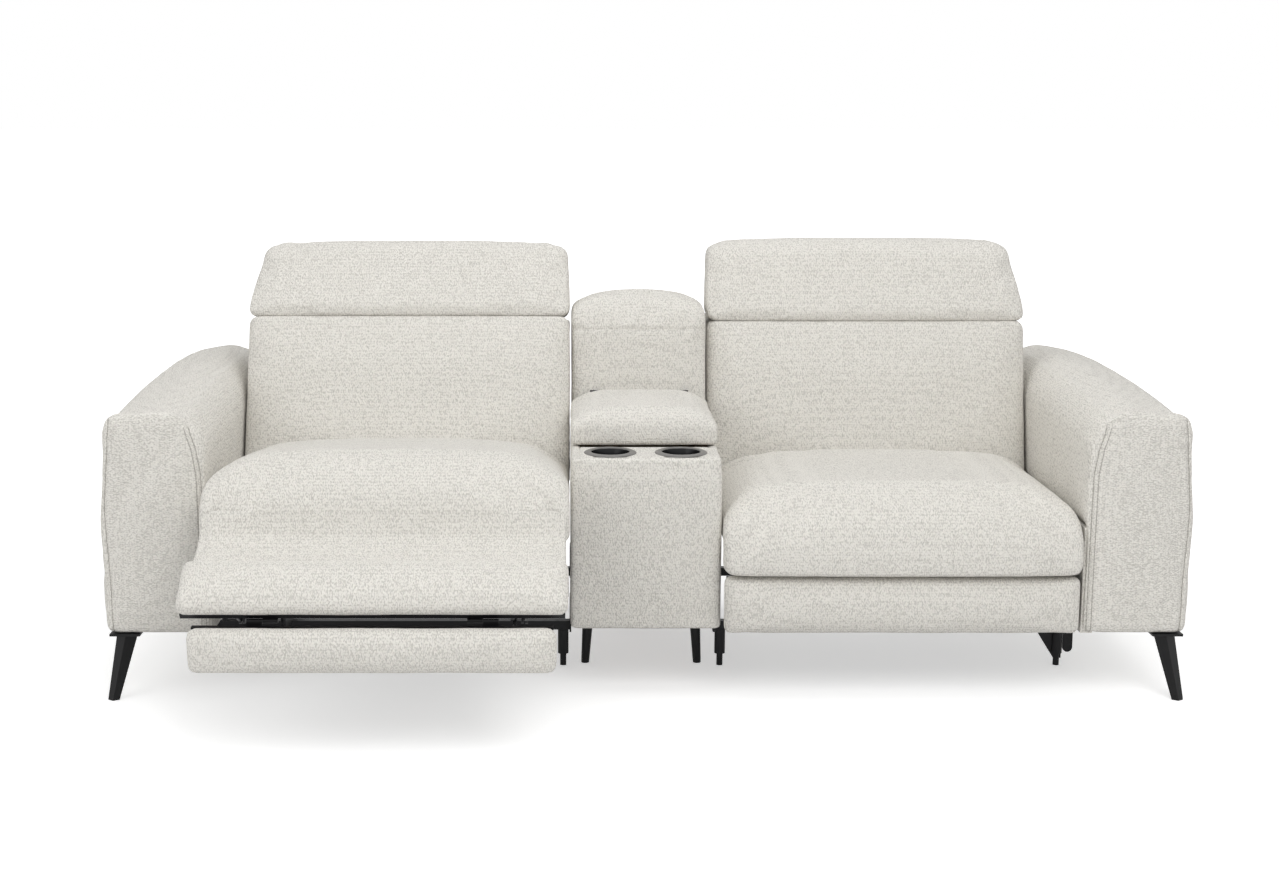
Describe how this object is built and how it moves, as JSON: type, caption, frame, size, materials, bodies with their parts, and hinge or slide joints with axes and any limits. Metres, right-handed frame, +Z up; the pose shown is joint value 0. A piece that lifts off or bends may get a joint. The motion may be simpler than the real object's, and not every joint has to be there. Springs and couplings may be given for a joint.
{
  "type": "reclining sofa with console",
  "caption": "Reclining sofa with padded arms, folding footrests, raised headrests and a fixed centre console with a lidded bin and cup holders.",
  "frame": {"origin": "on the floor under the middle of the sofa's box at rest, with the left seat part open", "axes": "+X to the viewer's right, +Y to the back, +Z up"},
  "size_m": [2.2994, 1.3141, 0.921],
  "materials": {
    "fabric": "woven, matt",
    "cup": "black bore with a grey satin rim",
    "leg": "satin black",
    "spring": "drawn wire",
    "timber": "raw",
    "drive": "moulded",
    "steel": "satin black"
  },
  "bodies": {
    "root": {"left_arm_cover": "fabric", "right_arm_cover": "fabric", "arm_frames": "timber", "arm_legs": "leg", "console_cover": "fabric", "console_frame": "timber", "console_deck": "fabric", "cup_holders": "cup", "console_lid_hinges": "steel", "console_back_frame": "timber", "console_back_cushion": "fabric", "console_legs": "leg", "left_base_frame": "steel", "right_base_frame": "steel"},
    "console_lid": {"console_lid_board": "timber", "console_lid_cushion": "fabric"},
    "left_rear_swing": {"left_rear_swing_links": "steel"},
    "left_front_swing": {"left_front_swing_links": "steel"},
    "left_seat_unit": {"left_carriage": "steel", "left_seat_frame": "timber", "left_seat_springs": "spring", "left_seat_cushion": "fabric", "left_drive_motor": "drive"},
    "left_drive_link_pair": {"left_drive_links": "steel"},
    "left_slide_link_pair": {"left_slide_links": "steel"},
    "left_outer_link_pair": {"left_outer_links": "steel"},
    "left_lift_link_pair": {"left_lift_links": "steel"},
    "left_footrest": {"left_footrest_brackets": "steel", "left_footrest_board": "timber", "left_footrest_pad": "fabric"},
    "left_tie_link_pair": {"left_tie_links": "steel"},
    "left_flap": {"left_flap_board": "timber", "left_flap_pad": "fabric"},
    "left_nut": {"left_drive_nut": "steel"},
    "left_back": {"left_back_frame": "timber", "left_back_cushion": "fabric"},
    "left_headrest": {"left_headrest_frame": "steel", "left_headrest_cushion": "fabric"},
    "right_rear_swing": {"right_rear_swing_links": "steel"},
    "right_front_swing": {"right_front_swing_links": "steel"},
    "right_seat_unit": {"right_carriage": "steel", "right_seat_frame": "timber", "right_seat_springs": "spring", "right_seat_cushion": "fabric", "right_drive_motor": "drive"},
    "right_drive_link_pair": {"right_drive_links": "steel"},
    "right_slide_link_pair": {"right_slide_links": "steel"},
    "right_outer_link_pair": {"right_outer_links": "steel"},
    "right_lift_link_pair": {"right_lift_links": "steel"},
    "right_footrest": {"right_footrest_brackets": "steel", "right_footrest_board": "timber", "right_footrest_pad": "fabric"},
    "right_tie_link_pair": {"right_tie_links": "steel"},
    "right_flap": {"right_flap_board": "timber", "right_flap_pad": "fabric"},
    "right_nut": {"right_drive_nut": "steel"},
    "right_back": {"right_back_frame": "timber", "right_back_cushion": "fabric"},
    "right_headrest": {"right_headrest_frame": "steel", "right_headrest_cushion": "fabric"}
  },
  "joints": [
    {"name": "console_lid_hinge", "type": "hinge", "parent": "root", "child": "console_lid", "pos_m": [0, 0.2625, 0.5803], "axis": [-1, 0, 0], "range_deg": [0, 80]},
    {"name": "left_seat_swing", "type": "hinge", "parent": "root", "child": "left_rear_swing", "pos_m": [-0.5355, 0.17672, 0.11254], "axis": [1, 0, 0], "range_deg": [-38.35, 20.65]},
    {"name": "left_front_swing_hinge", "type": "hinge", "parent": "root", "child": "left_front_swing", "pos_m": [-0.5355, -0.0665, 0.12], "axis": [1, 0, 0], "range_deg": [-39.01, 21.01]},
    {"name": "left_seat_unit_hinge", "type": "hinge", "parent": "left_rear_swing", "child": "left_seat_unit", "pos_m": [-0.5355, 0.16429, 0.29712], "axis": [-1, 0, 0], "range_deg": [-45.05, 24.27]},
    {"name": "left_drive_link_hinge", "type": "hinge", "parent": "left_seat_unit", "child": "left_drive_link_pair", "pos_m": [-0.5355, -0.19483, 0.3639], "axis": [-1, 0, 0], "range_deg": [-41.61, 22.41]},
    {"name": "left_slide_link_hinge", "type": "hinge", "parent": "left_drive_link_pair", "child": "left_slide_link_pair", "pos_m": [-0.5355, -0.25048, 0.28814], "axis": [1, 0, 0], "range_deg": [-83.21, 44.81]},
    {"name": "left_outer_link_hinge", "type": "hinge", "parent": "left_slide_link_pair", "child": "left_outer_link_pair", "pos_m": [-0.5355, -0.33694, 0.32501], "axis": [-1, 0, 0], "range_deg": [-83.21, 44.81]},
    {"name": "left_lift_link_hinge", "type": "hinge", "parent": "left_drive_link_pair", "child": "left_lift_link_pair", "pos_m": [-0.5355, -0.30612, 0.21238], "axis": [1, 0, 0], "range_deg": [-83.21, 44.81]},
    {"name": "left_footrest_hinge", "type": "hinge", "parent": "left_lift_link_pair", "child": "left_footrest", "pos_m": [-0.5355, -0.47905, 0.28612], "axis": [-1, 0, 0], "range_deg": [-91.01, 49.01]},
    {"name": "left_tie_link_hinge", "type": "hinge", "parent": "left_footrest", "child": "left_tie_link_pair", "pos_m": [-0.5355, -0.48961, 0.26457], "axis": [1, 0, 0], "range_deg": [-90.32, 48.64]},
    {"name": "left_flap_hinge", "type": "hinge", "parent": "left_footrest", "child": "left_flap", "pos_m": [-0.5355, -0.6102, 0.27689], "axis": [-1, 0, 0], "range_deg": [-117.01, 63.01]},
    {"name": "left_nut_slide", "type": "slide", "parent": "left_seat_unit", "child": "left_nut", "axis": [0, -0.9932, 0.1166], "range_m": [-0.04469, 0.02407]},
    {"name": "left_back_recline", "type": "hinge", "parent": "left_seat_unit", "child": "left_back", "pos_m": [-0.5355, 0.22936, 0.3368], "axis": [-1, 0, 0], "range_deg": [-3, 32]},
    {"name": "left_headrest_hinge", "type": "hinge", "parent": "left_back", "child": "left_headrest", "pos_m": [-0.5355, 0.44858, 0.71428], "axis": [-1, 0, 0], "range_deg": [0, 45]},
    {"name": "right_seat_swing", "type": "hinge", "parent": "root", "child": "right_rear_swing", "pos_m": [0.5355, 0.17672, 0.11254], "axis": [1, 0, 0], "range_deg": [0, 59]},
    {"name": "right_front_swing_hinge", "type": "hinge", "parent": "root", "child": "right_front_swing", "pos_m": [0.5355, -0.0665, 0.12], "axis": [1, 0, 0], "range_deg": [0, 60.01]},
    {"name": "right_seat_unit_hinge", "type": "hinge", "parent": "right_rear_swing", "child": "right_seat_unit", "pos_m": [0.5355, 0.2815, 0.265], "axis": [-1, 0, 0], "range_deg": [0, 69.31]},
    {"name": "right_drive_link_hinge", "type": "hinge", "parent": "right_seat_unit", "child": "right_drive_link_pair", "pos_m": [0.5355, -0.08296, 0.28946], "axis": [-1, 0, 0], "range_deg": [0, 64.01]},
    {"name": "right_slide_link_hinge", "type": "hinge", "parent": "right_drive_link_pair", "child": "right_slide_link_pair", "pos_m": [0.5355, -0.06342, 0.19751], "axis": [1, 0, 0], "range_deg": [0, 128.01]},
    {"name": "right_outer_link_hinge", "type": "hinge", "parent": "right_slide_link_pair", "child": "right_outer_link_pair", "pos_m": [0.5355, -0.11323, 0.27723], "axis": [-1, 0, 0], "range_deg": [0, 128.01]},
    {"name": "right_lift_link_hinge", "type": "hinge", "parent": "right_drive_link_pair", "child": "right_lift_link_pair", "pos_m": [0.5355, -0.04387, 0.10557], "axis": [1, 0, 0], "range_deg": [0, 128.01]},
    {"name": "right_footrest_hinge", "type": "hinge", "parent": "right_lift_link_pair", "child": "right_footrest", "pos_m": [0.5355, -0.1435, 0.265], "axis": [-1, 0, 0], "range_deg": [0, 140.01]},
    {"name": "right_tie_link_hinge", "type": "hinge", "parent": "right_footrest", "child": "right_tie_link_pair", "pos_m": [0.5355, -0.1315, 0.24421], "axis": [1, 0, 0], "range_deg": [0, 138.95]},
    {"name": "right_flap_hinge", "type": "hinge", "parent": "right_footrest", "child": "right_flap", "pos_m": [0.5355, -0.209, 0.151], "axis": [-1, 0, 0], "range_deg": [0, 180.01]},
    {"name": "right_nut_slide", "type": "slide", "parent": "right_seat_unit", "child": "right_nut", "axis": [0, -1, 0], "range_m": [0, 0.06875]},
    {"name": "right_back_recline", "type": "hinge", "parent": "right_seat_unit", "child": "right_back", "pos_m": [0.5355, 0.3415, 0.312], "axis": [-1, 0, 0], "range_deg": [0, 35]},
    {"name": "right_headrest_hinge", "type": "hinge", "parent": "right_back", "child": "right_headrest", "pos_m": [0.5355, 0.49402, 0.721], "axis": [-1, 0, 0], "range_deg": [0, 45]}
  ],
  "couplings": [
    {"joint": "left_front_swing_hinge", "follows": "left_seat_swing", "ratio": 1.0169},
    {"joint": "left_seat_unit_hinge", "follows": "left_seat_swing", "ratio": 1.1746},
    {"joint": "left_drive_link_hinge", "follows": "left_seat_swing", "ratio": 1.0847},
    {"joint": "left_slide_link_hinge", "follows": "left_seat_swing", "ratio": 2.1695},
    {"joint": "left_outer_link_hinge", "follows": "left_seat_swing", "ratio": 2.1695},
    {"joint": "left_lift_link_hinge", "follows": "left_seat_swing", "ratio": 2.1695},
    {"joint": "left_footrest_hinge", "follows": "left_seat_swing", "ratio": 2.3729},
    {"joint": "left_tie_link_hinge", "follows": "left_seat_swing", "ratio": 2.355},
    {"joint": "left_flap_hinge", "follows": "left_seat_swing", "ratio": 3.0508},
    {"joint": "left_nut_slide", "follows": "left_seat_swing", "m_per_rad": 0.06675},
    {"joint": "right_front_swing_hinge", "follows": "right_seat_swing", "ratio": 1.0169},
    {"joint": "right_seat_unit_hinge", "follows": "right_seat_swing", "ratio": 1.1746},
    {"joint": "right_drive_link_hinge", "follows": "right_seat_swing", "ratio": 1.0847},
    {"joint": "right_slide_link_hinge", "follows": "right_seat_swing", "ratio": 2.1695},
    {"joint": "right_outer_link_hinge", "follows": "right_seat_swing", "ratio": 2.1695},
    {"joint": "right_lift_link_hinge", "follows": "right_seat_swing", "ratio": 2.1695},
    {"joint": "right_footrest_hinge", "follows": "right_seat_swing", "ratio": 2.3729},
    {"joint": "right_tie_link_hinge", "follows": "right_seat_swing", "ratio": 2.355},
    {"joint": "right_flap_hinge", "follows": "right_seat_swing", "ratio": 3.0508},
    {"joint": "right_nut_slide", "follows": "right_seat_swing", "m_per_rad": 0.06675}
  ]
}
